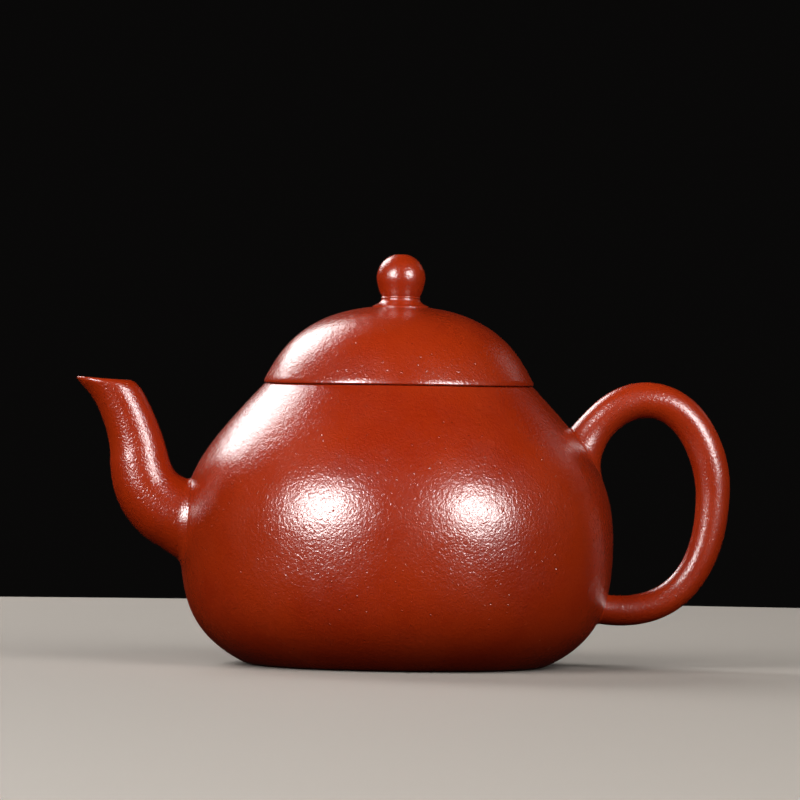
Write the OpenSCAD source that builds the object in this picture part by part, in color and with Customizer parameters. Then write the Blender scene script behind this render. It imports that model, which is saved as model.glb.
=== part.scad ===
// Pear-shaped clay teapot: the lid's outline carries on the line of the pot.
// Millimetres, +Z up. The origin is the middle of the base, on the table.
// The spout points to -X and the handle to +X, both in the XZ plane.

/* [Pot] */
// Widest diameter of the pot
body_d = 75; // [62:1:100]
// Height of the widest place above the table
belly_h = 22; // [18:0.5:27]
// Diameter of the flat base
foot_d = 51; // [42:0.5:58]
// Height of the rim that the lid sits on
rim_h = 48.6; // [40:0.2:62]
// Outer diameter of the rim
rim_d = 46.4; // [38:0.2:56]
// Thickness of the pot's wall
wall_t = 2.6; // [2:0.1:3.2]
// Thickness of the base
base_t = 2.8; // [2.2:0.1:3.6]
// Depth of the closing disc at the shoulder, below the mouth ring
shoulder_t = 5; // [3:0.5:8]
// Height of the coil of clay that makes the mouth
mouth_ring_h = 2.4; // [1.8:0.1:3.2]
// Width of the flat seat on top of the rim
seat_w = 3.1; // [2.4:0.1:3.6]
// Width of the small bevels on the edges of rim, lid and base
edge_bevel = 0.25; // [0.15:0.05:0.35]

/* [Base mark] */
// Side of the plain square impression under the base
mark_w = 12; // [8:0.5:16]
// Depth of that impression
mark_depth = 0.4; // [0.2:0.1:0.6]
// How far the middle of the base is pressed in above its foot
base_dish = 0.5; // [0.3:0.1:0.8]
// Width of the ring that touches the table
foot_ring_w = 4; // [3:0.5:6]

/* [Lid] */
// Rise of the lid's dome above the rim
dome_h = 13.7; // [11:0.1:17]
// Thickness of the dome
dome_t = 2.4; // [1.8:0.1:2.8]
// Thickness of the ring that sits on the rim
lid_ring_t = 1.8; // [1.4:0.1:2.4]
// How far the lid's edge stands out past the rim
lid_overhang = 0.15; // [0.1:0.05:0.3]
// Depth of the flange that hangs in the mouth
flange_h = 5.5; // [4:0.5:7]
// Thickness of the flange
flange_t = 2; // [1.6:0.1:2.4]
// Gap between the flange and the mouth, all round
lid_gap = 0.3; // [0.2:0.05:0.5]

/* [Knob] */
// Diameter of the ball
ball_d = 8.5; // [7:0.1:11]
// Height of the ball's centre above the top of the dome
ball_rise = 4.7; // [4.4:0.1:5.6]
// Diameter where the ball stands on its collar
neck_d = 7.2; // [5.6:0.1:7.6]
// Height of the collar above the top of the dome
collar_h = 1.3; // [1:0.1:1.6]
// Diameter of the collar's flared foot
collar_d = 9.8; // [8.6:0.1:12]
// Diameter of the steam hole through knob and lid
vent_d = 1.8; // [1.4:0.1:2.4]

/* [Spout] */
// Height of the spout's mouth above the rim
mouth_rise = 0.8; // [0:0.1:2]
// How far the middle of the mouth stands out past the widest place
spout_reach = 13.2; // [10:0.1:18]
// Height of the middle of the spout's root
spout_root_h = 24; // [21:0.5:27]
// Outer diameter at the mouth, across the spout
spout_mouth_d = 7.8; // [6.6:0.1:9]
// Outer diameter at the root
spout_root_d = 14; // [12:0.1:16]
// Thickness of the spout at its lip
lip_t = 1.1; // [0.8:0.1:1.4]
// Thickness of the spout at its root
spout_wall_t = 2.2; // [1.8:0.1:2.8]

/* [Strainer] */
// Outer diameter of the strainer dome inside the pot
strainer_d = 15; // [13:0.5:17]
// Thickness of the strainer dome
strainer_t = 1.4; // [1:0.1:2]
// Diameter of each strainer hole
strainer_hole_d = 1.6; // [1.2:0.1:1.8]

/* [Handle] */
// How far the handle's outside stands out past the widest place
handle_reach = 20.5; // [16:0.5:26]
// Height of the handle's top above the rim
handle_rise = 1.1; // [0:0.1:4]
// Drop from the rim to the middle of the upper root
upper_root_drop = 11; // [8:0.5:14]
// Height of the middle of the lower root
lower_root_h = 10.6; // [9:0.1:14]
// Thickness of the handle over its top
handle_d = 6.2; // [5:0.1:8]
// Thickness of the handle at its lower root
handle_low_d = 5.2; // [4.2:0.1:7]

/* [Luting] */
// Width of a band of joining clay on the pot's wall, round a root
luting_w = 1; // [0.6:0.1:1.4]
// Height of a band of joining clay up the root, from the wall
luting_h = 1; // [0.6:0.1:1.4]

/* [Hidden] */
$fn = 96;

body_r = body_d / 2;
foot_r = foot_d / 2;
rim_r = rim_d / 2;
mouth_r = rim_r - seat_w;
ring_z = rim_h - mouth_ring_h;
shoulder_z = ring_z - shoulder_t;
curve_steps = 12;
far = 4 * body_d;

lid_r = rim_r + lid_overhang;
lid_edge_z = rim_h + 2 * edge_bevel;
dome_top = rim_h + dome_h;
dome_z = rim_h + lid_ring_t;
flange_r = mouth_r - lid_gap;
collar_z = dome_top + collar_h;
ball_z = dome_top + ball_rise;

spout_top = rim_h + mouth_rise;
spout_root = [-(body_r - 2.5), spout_root_h];
spout_run = spout_reach + 2.5;
spout_lift = spout_top - 0.2 - spout_root_h;
spout_sides = 28;
spout_steps = 11;
spout_swell = 1.5;

handle_sides = 24;
handle_steps = 14;
handle_embed = 2;

clay = [0.62, 0.17, 0.08];
joint_clay = [0.56, 0.15, 0.07];

// ---- curves ----

function bez(p, t) =
    pow(1 - t, 3) * p[0] + 3 * pow(1 - t, 2) * t * p[1]
    + 3 * (1 - t) * t * t * p[2] + pow(t, 3) * p[3];

function bez_way(p, t) =
    let (d = pow(1 - t, 2) * (p[1] - p[0]) + 2 * (1 - t) * t * (p[2] - p[1])
        + t * t * (p[3] - p[2]))
    d / norm(d);

// Points along one curve, moved sideways to its left by the given distance
function bez_row(p, steps, aside = 0) =
    [for (i = [0:steps]) let (w = bez_way(p, i / steps))
        bez(p, i / steps) + aside * [-w.y, w.x]];

// ---- outline of the pot, from the base up ----

spread = body_r - foot_r;
draw_in = body_r - rim_r;
rise = rim_h - belly_h;
lower_curve = [[foot_r, 0], [foot_r + 0.82 * spread, 0.2 * belly_h],
    [body_r, 0.5 * belly_h], [body_r, belly_h]];
upper_curve = [[body_r, belly_h], [body_r, belly_h + 0.46 * rise],
    [rim_r + 0.57 * draw_in, rim_h - 0.34 * rise], [rim_r, rim_h]];

function pot_row(aside = 0) =
    concat(bez_row(lower_curve, curve_steps, aside),
        [for (i = [1:curve_steps]) bez_row(upper_curve, curve_steps, aside)[i]]);

outer_row = pot_row();
radius_by_height = [for (p = outer_row) [p.y, p.x]];
function pot_r(z) = lookup(z, radius_by_height);

module slab(z_low, z_high) {
    translate([0, z_low]) square([far, z_high - z_low]);
}

// The pot's half section, filled to the axis
module pot_section() {
    polygon(concat([[0, 0], [foot_r - edge_bevel, 0], [foot_r + edge_bevel, 2 * edge_bevel]],
        [for (i = [1:len(outer_row) - 2]) outer_row[i]],
        [[rim_r + edge_bevel, rim_h - edge_bevel], [rim_r - edge_bevel, rim_h], [0, rim_h]]));
}

// The half section of the room inside the wall
module room_section() {
    inner_row = pot_row(wall_t);
    intersection() {
        polygon(concat([[0, 0]], inner_row, [[0, inner_row[len(inner_row) - 1].y]]));
        slab(base_t, rim_h);
    }
}

module pot_solid() {
    rotate_extrude() pot_section();
}

// A ring of the pot's wall between two heights
module wall_ring(z_low, z_high) {
    rotate_extrude() intersection() {
        difference() {
            pot_section();
            room_section();
        }
        slab(z_low, z_high);
    }
}

// ---- outline of the lid, from its edge up ----

lid_curve = [[lid_r, lid_edge_z], [lid_r - 2.9, lid_edge_z + 0.42 * dome_h],
    [0.69 * lid_r, dome_top], [0, dome_top]];

module lid_section() {
    polygon(concat([[0, rim_h], [lid_r - edge_bevel, rim_h], [lid_r, rim_h + edge_bevel]],
        bez_row(lid_curve, curve_steps)));
}

// The room under the dome, down to the level where it stands on its ring
module lid_room_section() {
    polygon(concat([[0, rim_h]], bez_row(lid_curve, curve_steps, dome_t)));
}

// ---- rods along a path in the XZ plane ----

// A station is [middle, way, radius], with middle and way as [x, z]
function side_of(station) = [-station[1].y, station[1].x];

module rod(stations, sides) {
    last = len(stations) - 1;
    points = [for (s = stations) for (j = [0:sides - 1])
        let (a = 360 * j / sides, at = s[0] + s[2] * cos(a) * side_of(s))
        [at.x, s[2] * sin(a), at.y]];
    near_cap = [for (j = [sides - 1:-1:0]) j];
    far_cap = [for (j = [0:sides - 1]) last * sides + j];
    skin = [for (i = [0:last - 1]) for (j = [0:sides - 1])
        let (k = (j + 1) % sides, a = i * sides, b = a + sides)
        each [[a + j, b + k, b + j], [a + j, a + k, b + k]]];
    polyhedron(points, concat([near_cap], skin, [far_cap]));
}

// ---- spout: from the root out to the mouth ----

function spout_at(p) = spout_root + [-p.x * spout_run, p.y * spout_lift];
spout_curves = [
    [for (p = [[0, 0], [0.42, 0.12], [0.56, 0.21], [0.615, 0.455]]) spout_at(p)],
    [for (p = [[0.615, 0.455], [0.64, 0.585], [0.77, 0.84], [1, 1]]) spout_at(p)]];

// Radius a share s of the way from the root (0) to the mouth (1)
function spout_r(s, root_r, mouth_r) = mouth_r + (root_r - mouth_r) * pow(1 - s, spout_swell);

function spout_stations(root_r, mouth_r) =
    [for (c = [0, 1]) for (i = [c:spout_steps])
        let (t = i / spout_steps)
        [bez(spout_curves[c], t), bez_way(spout_curves[c], t),
            spout_r((c + t) / 2, root_r, mouth_r)]];

// The same stations, run on at both ends
function run_on(row, start_by, end_by) =
    let (a = row[0], z = row[len(row) - 1])
    concat([[a[0] - start_by * a[1], a[1], a[2]]], row, [[z[0] + end_by * z[1], z[1], z[2]]]);

spout_outside = run_on(spout_stations(spout_root_d / 2, spout_mouth_d / 2), 2, 5);
spout_bore_r = spout_root_d / 2 - spout_wall_t;
spout_inside = run_on(spout_stations(spout_bore_r, spout_mouth_d / 2 - lip_t), 2, 6);

module spout_rod() {
    rod(spout_outside, spout_sides);
}

// Lies along the way that the spout leaves the pot
module along_root() {
    way = bez_way(spout_curves[0], 0);
    translate([spout_root.x, 0, spout_root.y]) rotate([0, atan2(way.x, way.y), 0]) children();
}

// ---- handle: from the upper root over the top to the lower root ----

upper_root_h = rim_h - upper_root_drop;
top_z = rim_h + handle_rise - handle_d / 2;
out_x = body_r + handle_reach - (handle_d - 0.2) / 2;
mid_z = lower_root_h + 0.56 * (top_z - lower_root_h);
upper_x = pot_r(upper_root_h) - 1;
lower_x = pot_r(lower_root_h) - handle_embed;
over_x = upper_x + 0.49 * (out_x - upper_x);
handle_curves = [
    [[upper_x, upper_root_h], [upper_x + 1.7, upper_root_h + 3.6],
        [upper_x + 5.6, top_z], [over_x, top_z]],
    [[over_x, top_z], [over_x + 0.7 * (out_x - over_x), top_z],
        [out_x, mid_z + 0.38 * (top_z - mid_z)], [out_x, mid_z]],
    [[out_x, mid_z], [out_x, mid_z - 0.67 * (mid_z - lower_root_h)],
        [lower_x + 0.67 * (out_x - lower_x), lower_root_h - 2.9], [lower_x, lower_root_h]]];

function handle_r(s) =
    let (u = max(0, min(1, (s - 0.55) / 0.3)))
    (handle_d + (handle_low_d - handle_d) * u * u * (3 - 2 * u)) / 2;

handle_row = run_on([for (c = [0, 1, 2]) for (i = [min(c, 1):handle_steps])
    let (t = i / handle_steps)
    [bez(handle_curves[c], t), bez_way(handle_curves[c], t), handle_r((c + t) / 3)]],
    handle_embed, handle_embed);

module handle_rod() {
    rod(handle_row, handle_sides);
}

// ---- bands of joining clay ----

function backwards(row) = [for (i = [len(row) - 1:-1:0]) [row[i][0], -row[i][1], row[i][2]]];

// The first stations of a row, up to a given distance from its start
function root_part(row, run) = [for (s = row) if (norm(s[0] - row[0][0]) <= run) s];

// A ring round one root: inside a fatter rod, and no higher than its height above the wall
module luting_band(row, sides) {
    fat_row = [for (s = row) [s[0], s[1], s[2] + luting_w]];
    raised = pot_row(-luting_h);
    difference() {
        intersection() {
            rotate_extrude() difference() {
                polygon(concat([[0, 0]], raised, [[0, rim_h]]));
                pot_section();
            }
            rod(fat_row, sides);
        }
        rod(row, sides);
    }
}

// ---- the pieces ----

// Beaten wall of the pot, with the hole that lets tea into the spout
module body_wall() {
    color(clay) difference() {
        wall_ring(base_t, shoulder_z);
        along_root() cylinder(r = spout_bore_r, h = 4 * wall_t, center = true);
    }
}

// Base plate: touches the table on a ring, with its middle pressed in and a blank mark
module base_disc() {
    color(clay) difference() {
        wall_ring(0, base_t);
        translate([0, 0, -base_t]) cylinder(r = foot_r - foot_ring_w, h = base_t + base_dish);
        translate([-mark_w / 2, -mark_w / 2, 0]) cube([mark_w, mark_w, base_dish + mark_depth]);
    }
}

// Disc that closed the top of the beaten wall, with the mouth cut out of it
module shoulder_disc() {
    color(clay) wall_ring(shoulder_z, ring_z);
}

// Coil of clay that makes the mouth and the lid's seat
module mouth_ring() {
    color(clay) difference() {
        rotate_extrude() intersection() {
            pot_section();
            slab(ring_z, rim_h);
        }
        translate([0, 0, ring_z - 1]) cylinder(r = mouth_r, h = mouth_ring_h + 2);
    }
}

// Perforated dome over the spout's hole, stuck to the inside of the wall
module strainer_dome() {
    rings = [[0, 1], [27, 6], [54, 12]];
    color(clay) intersection() {
        difference() {
            strainer_place() sphere(d = strainer_d);
            strainer_place() sphere(d = strainer_d - 2 * strainer_t);
            for (ring = rings) for (i = [0:ring[1] - 1])
                strainer_place() rotate([0, 0, 360 * i / ring[1]]) rotate([0, ring[0], 0])
                    translate([0, 0, strainer_d / 4]) cylinder(d = strainer_hole_d, h = strainer_d);
        }
        rotate_extrude() room_section();
    }
}

// Middle of the strainer dome: on the wall's inside, looking into the pot
module strainer_place() {
    translate([-(pot_r(spout_root_h) - wall_t), 0, spout_root_h]) rotate([0, 90, 0]) children();
}

// Curved spout with a level mouth
module spout() {
    color(clay) difference() {
        spout_rod();
        rod(spout_inside, spout_sides);
        pot_solid();
        translate([-far, -far / 2, spout_top]) cube(far);
    }
}

// Band of joining clay round the spout's root
module spout_luting() {
    color(joint_clay) luting_band(root_part(spout_outside, 12), spout_sides);
}

// Ear-shaped handle, thinner towards its lower root
module handle() {
    color(clay) difference() {
        handle_rod();
        pot_solid();
    }
}

// Band of joining clay round the handle's upper root
module handle_top_luting() {
    color(joint_clay) luting_band(root_part(handle_row, 9), handle_sides);
}

// Band of joining clay round the handle's lower root
module handle_bottom_luting() {
    color(joint_clay) luting_band(root_part(backwards(handle_row), 10), handle_sides);
}

// Dome of the lid
module lid_dome() {
    color(clay) difference() {
        rotate_extrude() intersection() {
            difference() {
                lid_section();
                lid_room_section();
            }
            slab(dome_z, dome_top);
        }
        vent();
    }
}

// Ring under the dome that sits on the rim
module lid_seat_ring() {
    color(clay) difference() {
        rotate_extrude() intersection() {
            lid_section();
            slab(rim_h, dome_z);
        }
        translate([0, 0, rim_h - 1]) cylinder(r = flange_r - flange_t, h = lid_ring_t + 2);
    }
}

// Short wall under the lid that drops into the mouth
module lid_flange() {
    color(clay) translate([0, 0, rim_h - flange_h]) difference() {
        cylinder(r = flange_r, h = flange_h);
        translate([0, 0, -1]) cylinder(r = flange_r - flange_t, h = flange_h + 2);
    }
}

// Flared collar that the knob stands on
module knob_collar() {
    flare = [[collar_d / 2, dome_top - 0.3], [neck_d / 2 + 0.25, dome_top + 0.2],
        [neck_d / 2, collar_z - 0.5], [neck_d / 2, collar_z]];
    color(clay) difference() {
        rotate_extrude() difference() {
            polygon(concat([[0, dome_top - 1], [collar_d / 2, dome_top - 1]],
                bez_row(flare, 6), [[0, collar_z]]));
            lid_section();
        }
        vent();
    }
}

// Ball of the knob, with the steam hole down its middle
module knob_ball() {
    color(clay) difference() {
        union() {
            translate([0, 0, ball_z]) sphere(d = ball_d);
            translate([0, 0, collar_z]) cylinder(d = neck_d, h = ball_z - collar_z);
        }
        translate([0, 0, collar_z - ball_d]) cylinder(d = 2 * ball_d, h = ball_d);
        vent();
    }
}

// Steam hole through the whole lid
module vent() {
    translate([0, 0, rim_h]) cylinder(d = vent_d, h = dome_h + ball_rise + ball_d);
}

body_wall();
base_disc();
shoulder_disc();
mouth_ring();
strainer_dome();
spout();
spout_luting();
handle();
handle_top_luting();
handle_bottom_luting();
lid_dome();
lid_seat_ring();
lid_flange();
knob_collar();
knob_ball();
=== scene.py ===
"""Looks of a small red clay teapot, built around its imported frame.

The pot's own axis is Z, its spout points to -X and its handle to +X. Lengths are metres, and MM turns
millimetres into them. A Vector with two numbers is a point in a flat section: (radius, height) for what is
turned about the axis, and (x, height) for the spout's and the handle's middle lines.
"""

import logging
import math
from bisect import bisect_right
from collections.abc import Callable, Sequence
from dataclasses import dataclass, field
from enum import Enum
from functools import reduce

import bmesh
import bpy
from mathutils import Matrix, Vector, noise


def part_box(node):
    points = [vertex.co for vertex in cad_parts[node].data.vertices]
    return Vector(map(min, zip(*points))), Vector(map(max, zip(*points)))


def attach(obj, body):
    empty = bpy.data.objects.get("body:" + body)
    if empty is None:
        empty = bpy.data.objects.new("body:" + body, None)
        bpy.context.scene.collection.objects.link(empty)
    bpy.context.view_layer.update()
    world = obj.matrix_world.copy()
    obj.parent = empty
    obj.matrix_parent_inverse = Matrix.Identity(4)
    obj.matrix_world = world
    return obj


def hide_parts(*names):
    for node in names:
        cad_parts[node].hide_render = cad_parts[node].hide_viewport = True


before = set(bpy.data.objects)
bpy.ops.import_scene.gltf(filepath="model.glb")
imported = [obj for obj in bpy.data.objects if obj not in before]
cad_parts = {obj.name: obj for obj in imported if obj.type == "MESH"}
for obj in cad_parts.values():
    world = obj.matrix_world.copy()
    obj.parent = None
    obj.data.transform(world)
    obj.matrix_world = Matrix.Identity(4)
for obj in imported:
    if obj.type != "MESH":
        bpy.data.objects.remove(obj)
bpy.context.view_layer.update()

MM = 0.001
TURN_STEPS = 256
SECTION_STEP = 0.7 * MM
GUARD = 0.05 * MM
ROUND_SEGMENTS = 5
SHARP_ANGLE = math.radians(34)
MERGE = 0.0005 * MM
SKIN = 0.01 * MM
TINY = 1e-12
HALVINGS = 22
HAND_SEED = 7
ROOT_DEPTH = 0.8 * MM

logging.basicConfig(level=logging.INFO, format="%(message)s")
log = logging.getLogger("teapot")


class Clay(Enum):
    """The finishes of clay on the pot; a value is the finish's own name and the record's material slot."""

    BEATEN = ("beaten_red_clay", "red_clay")
    DRAWN = ("drawn_red_clay", "red_clay")
    ROLLED = ("rolled_red_clay", "red_clay")
    JOINT = ("smoothed_joint_clay", "joint_clay")
    INNER = ("bare_inner_clay", "inner_clay")

    @property
    def slot(self) -> str:
        """Returns the record's material slot."""
        return self.value[1]


class Body(Enum):
    """The two loose things on the table."""

    POT = "pot"
    LID = "lid"


# ---- clay finishes ----


@dataclass(frozen=True)
class Scatter:
    """Scattered round grains: how far apart they may lie, their radius and how many of the places hold one.

    The spacing is in metres, the size is a share of the spacing, and the share is a share of the places.
    """

    spacing: float
    size: float
    share: float


SPECKS = Scatter(2.3 * MM, 0.1, 0.4)
PINS = Scatter(1.5 * MM, 0.13, 0.3)
PITS = Scatter(1.9 * MM, 0.12, 0.25)


class NodeSheet:
    """A material's node tree, with short ways to add and join its nodes."""

    def __init__(self, name: str) -> None:
        """Starts a material with an empty tree.

        Args:
            name: the material's name.
        """
        self.material = bpy.data.materials.new(name)
        self.material.use_nodes = True
        self.tree = self.material.node_tree
        self.tree.nodes.clear()
        self.place = self.tree.nodes.new("ShaderNodeTexCoord").outputs["Object"]

    def join(self, value: bpy.types.NodeSocket | float | tuple, socket: bpy.types.NodeSocket) -> None:
        """Feeds a socket from another socket, or sets its own value."""
        if isinstance(value, bpy.types.NodeSocket):
            self.tree.links.new(value, socket)
        else:
            socket.default_value = value

    def math(self, rule: str, a: bpy.types.NodeSocket | float,
             b: bpy.types.NodeSocket | float) -> bpy.types.NodeSocket:
        """Adds a sum of two values.

        Args:
            rule: the sum's name in Blender, such as MULTIPLY.
            a: the first value.
            b: the second value.

        Returns:
            The result's socket.
        """
        node = self.tree.nodes.new("ShaderNodeMath")
        node.operation = rule
        for value, socket in zip((a, b), node.inputs):
            self.join(value, socket)
        return node.outputs[0]

    def stretched(self, scale: tuple[float, float, float]) -> bpy.types.NodeSocket:
        """Returns the place on the piece, stretched along its axes."""
        node = self.tree.nodes.new("ShaderNodeMapping")
        node.inputs["Scale"].default_value = scale
        self.join(self.place, node.inputs["Vector"])
        return node.outputs[0]

    def noise(self, span: float, detail: float = 2.0, roughness: float = 0.5, twist: float = 0.0,
              place: bpy.types.NodeSocket | None = None) -> bpy.types.NodeSocket:
        """Adds a cloudy pattern.

        Args:
            span: the size of its blotches, in metres.
            detail: how many finer layers it has.
            roughness: how strong those layers are.
            twist: how much it is swirled.
            place: where it is read, or the place on the piece.

        Returns:
            The pattern's socket, from 0 to 1 and 0.5 on average.
        """
        node = self.tree.nodes.new("ShaderNodeTexNoise")
        self.join(place or self.place, node.inputs["Vector"])
        node.inputs["Scale"].default_value = 1.0 / span
        node.inputs["Detail"].default_value = detail
        node.inputs["Roughness"].default_value = roughness
        node.inputs["Distortion"].default_value = twist
        return node.outputs["Fac"]

    def grains(self, scatter: Scatter) -> bpy.types.NodeSocket:
        """Adds scattered round grains.

        Args:
            scatter: how large and how many they are.

        Returns:
            The grains' socket: 1 in the middle of a grain and 0 off it.
        """
        node = self.tree.nodes.new("ShaderNodeTexVoronoi")
        self.join(self.place, node.inputs["Vector"])
        node.inputs["Scale"].default_value = 1.0 / scatter.spacing
        bump = self.ramp(node.outputs["Distance"], scatter.size, 0.0)
        chosen = self.math("LESS_THAN", self.red_of(node.outputs["Color"]), scatter.share)
        return self.math("MULTIPLY", bump, chosen)

    def red_of(self, colour: bpy.types.NodeSocket) -> bpy.types.NodeSocket:
        """Returns the red part of a colour."""
        node = self.tree.nodes.new("ShaderNodeSeparateColor")
        self.join(colour, node.inputs["Color"])
        return node.outputs["Red"]

    def ramp(self, value: bpy.types.NodeSocket, low: float, high: float, out_low: float = 0.0,
             out_high: float = 1.0) -> bpy.types.NodeSocket:
        """Turns one range of values smoothly into another.

        Args:
            value: what is turned.
            low: the value that gives out_low.
            high: the value that gives out_high.
            out_low: the result at low.
            out_high: the result at high.

        Returns:
            The result's socket.
        """
        node = self.tree.nodes.new("ShaderNodeMapRange")
        node.interpolation_type = "SMOOTHSTEP"
        for name, number in zip(("From Min", "From Max", "To Min", "To Max"), (low, high, out_low, out_high)):
            node.inputs[name].default_value = number
        self.join(value, node.inputs["Value"])
        return node.outputs["Result"]

    def mix(self, share: bpy.types.NodeSocket | float, a: bpy.types.NodeSocket | tuple,
            b: bpy.types.NodeSocket | tuple) -> bpy.types.NodeSocket:
        """Mixes two colours.

        Args:
            share: how much of b there is.
            a: the first colour.
            b: the second colour.

        Returns:
            The mixed colour's socket.
        """
        node = self.tree.nodes.new("ShaderNodeMix")
        node.data_type = "RGBA"
        self.join(share, node.inputs["Factor"])
        for value, name in ((a, "A"), (b, "B")):
            socket = next(s for s in node.inputs if s.name == name and s.type == "RGBA")
            self.join(value, socket)
        return next(s for s in node.outputs if s.type == "RGBA")


@dataclass(frozen=True)
class ClayFinish:
    """Fired, unglazed clay: its colours, its gloss and the fine relief of its skin."""

    tone: tuple[float, float, float] = (0.31, 0.019, 0.0015)
    deep_tone: tuple[float, float, float] = (0.25, 0.012, 0.001)
    warm_tone: tuple[float, float, float] = (0.37, 0.03, 0.003)
    iron_tone: tuple[float, float, float] = (0.05, 0.004, 0.002)
    cloud_span: float = 16 * MM
    mottle_span: float = 0.9 * MM
    evenness: float = 0.6
    mottling: float = 0.3
    iron_strength: float = 0.75
    shine: float = 0.5
    roughness: float = 0.25
    roughness_spread: float = 0.03
    patch_span: float = 7 * MM
    gloss: float = 0.3
    gloss_roughness: float = 0.13
    wrinkle_span: float = 0.5 * MM
    wrinkle_depth: float = 0.075 * MM
    grain_span: float = 0.3 * MM
    grain_depth: float = 0.02 * MM
    swell_span: float = 3.2 * MM
    swell_depth: float = 0.06 * MM
    pin_height: float = 0.09 * MM
    pit_depth: float = 0.09 * MM
    wipe_depth: float = 0.0
    wipe_scale: tuple[float, float, float] = (60.0, 60.0, 900.0)

    def build(self, name: str) -> bpy.types.Material:
        """Makes the material.

        Args:
            name: the material's name.

        Returns:
            The finished material.
        """
        sheet = NodeSheet(name)
        shader = sheet.tree.nodes.new("ShaderNodeBsdfPrincipled")
        shader.inputs["IOR"].default_value = 1.5
        shader.inputs["Specular IOR Level"].default_value = self.shine
        shader.inputs["Coat Weight"].default_value = self.gloss
        shader.inputs["Coat Roughness"].default_value = self.gloss_roughness
        sheet.join(self.colour(sheet), shader.inputs["Base Color"])
        sheet.join(self.dullness(sheet), shader.inputs["Roughness"])
        bump = sheet.tree.nodes.new("ShaderNodeBump")
        bump.inputs["Strength"].default_value = 1.0
        bump.inputs["Distance"].default_value = 1.0
        sheet.join(self.relief(sheet), bump.inputs["Height"])
        sheet.join(bump.outputs["Normal"], shader.inputs["Normal"])
        sheet.join(bump.outputs["Normal"], shader.inputs["Coat Normal"])
        out = sheet.tree.nodes.new("ShaderNodeOutputMaterial")
        sheet.join(shader.outputs["BSDF"], out.inputs["Surface"])
        return sheet.material

    def colour(self, sheet: NodeSheet) -> bpy.types.NodeSocket:
        """Returns the colour: broad clouds from the kiln, fine mottling and dark specks of iron."""
        tone, deep, warm, iron = ((*rgb, 1.0) for rgb in (self.tone, self.deep_tone, self.warm_tone,
                                                          self.iron_tone))
        clouds = sheet.ramp(sheet.noise(self.cloud_span, detail=3), 0.34, 0.66)
        mottle = sheet.ramp(sheet.noise(self.mottle_span, detail=3, roughness=0.6), 0.3, 0.75)
        ground = sheet.mix(self.evenness, sheet.mix(clouds, deep, warm), tone)
        fine = sheet.mix(sheet.math("MULTIPLY", mottle, self.mottling), ground, warm)
        return sheet.mix(sheet.math("MULTIPLY", sheet.grains(SPECKS), self.iron_strength), fine, iron)

    def dullness(self, sheet: NodeSheet) -> bpy.types.NodeSocket:
        """Returns the roughness: handled patches shine a little more."""
        patches = sheet.noise(self.patch_span, detail=3, roughness=0.6)
        return sheet.ramp(patches, 0.3, 0.7, self.roughness - self.roughness_spread,
                          self.roughness + self.roughness_spread)

    def relief(self, sheet: NodeSheet) -> bpy.types.NodeSocket:
        """Returns the height of the skin in metres: wrinkles, grain, a slow swell, pins, pits and wiping."""
        layers = [
            (sheet.noise(self.wrinkle_span, detail=1.5, twist=0.7), self.wrinkle_depth),
            (sheet.noise(self.grain_span, detail=1.0), self.grain_depth),
            (sheet.noise(self.swell_span, detail=1.0), self.swell_depth),
            (sheet.grains(PINS), self.pin_height),
            (sheet.grains(PITS), -self.pit_depth),
        ]
        if self.wipe_depth > 0:
            strokes = sheet.noise(1.0, detail=3, place=sheet.stretched(self.wipe_scale))
            layers.append((strokes, self.wipe_depth))
        raised = [sheet.math("MULTIPLY", layer, depth) for layer, depth in layers]
        return reduce(lambda low, high: sheet.math("ADD", low, high), raised)


FINISHES = {
    Clay.BEATEN: ClayFinish(),
    Clay.DRAWN: ClayFinish(shine=0.4, roughness=0.22, gloss=0.18, wrinkle_span=0.42 * MM,
                           wrinkle_depth=0.08 * MM, swell_depth=0.02 * MM, pin_height=0.08 * MM,
                           pit_depth=0.06 * MM),
    Clay.ROLLED: ClayFinish(shine=0.42, roughness=0.27, gloss=0.25, gloss_roughness=0.14,
                            wrinkle_span=0.42 * MM, wrinkle_depth=0.06 * MM, grain_depth=0.018 * MM,
                            swell_depth=0.012 * MM, pin_height=0.06 * MM, pit_depth=0.05 * MM),
    Clay.JOINT: ClayFinish(shine=0.5, gloss=0.28, wrinkle_span=0.42 * MM, wrinkle_depth=0.07 * MM,
                           swell_depth=0.02 * MM, pin_height=0.06 * MM, pit_depth=0.05 * MM),
    Clay.INNER: ClayFinish(tone=(0.35, 0.035, 0.01), deep_tone=(0.29, 0.025, 0.007),
                           warm_tone=(0.4, 0.05, 0.016), roughness=0.72, roughness_spread=0.06, gloss=0.0,
                           wrinkle_depth=0.02 * MM, grain_depth=0.012 * MM, wipe_depth=0.12 * MM),
}


# ---- curves in a section ----


@dataclass(frozen=True)
class Cubic:
    """One cubic curve in a flat section, from its ends and the two points that pull it."""

    start: Vector
    first_pull: Vector
    second_pull: Vector
    end: Vector

    def at(self, t: float) -> Vector:
        """Returns the point a share t of the way."""
        u = 1 - t
        return (u ** 3 * self.start + 3 * u * u * t * self.first_pull + 3 * u * t * t * self.second_pull
                + t ** 3 * self.end)

    def speed(self, t: float) -> Vector:
        """Returns how fast and which way the curve runs at t."""
        u = 1 - t
        return 3 * (u * u * (self.first_pull - self.start) + 2 * u * t * (self.second_pull - self.first_pull)
                    + t * t * (self.end - self.second_pull))


def left_of(way: Vector) -> Vector:
    """Returns the unit direction to the left of a way in a section."""
    return Vector((-way.y, way.x)).normalized()


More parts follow.
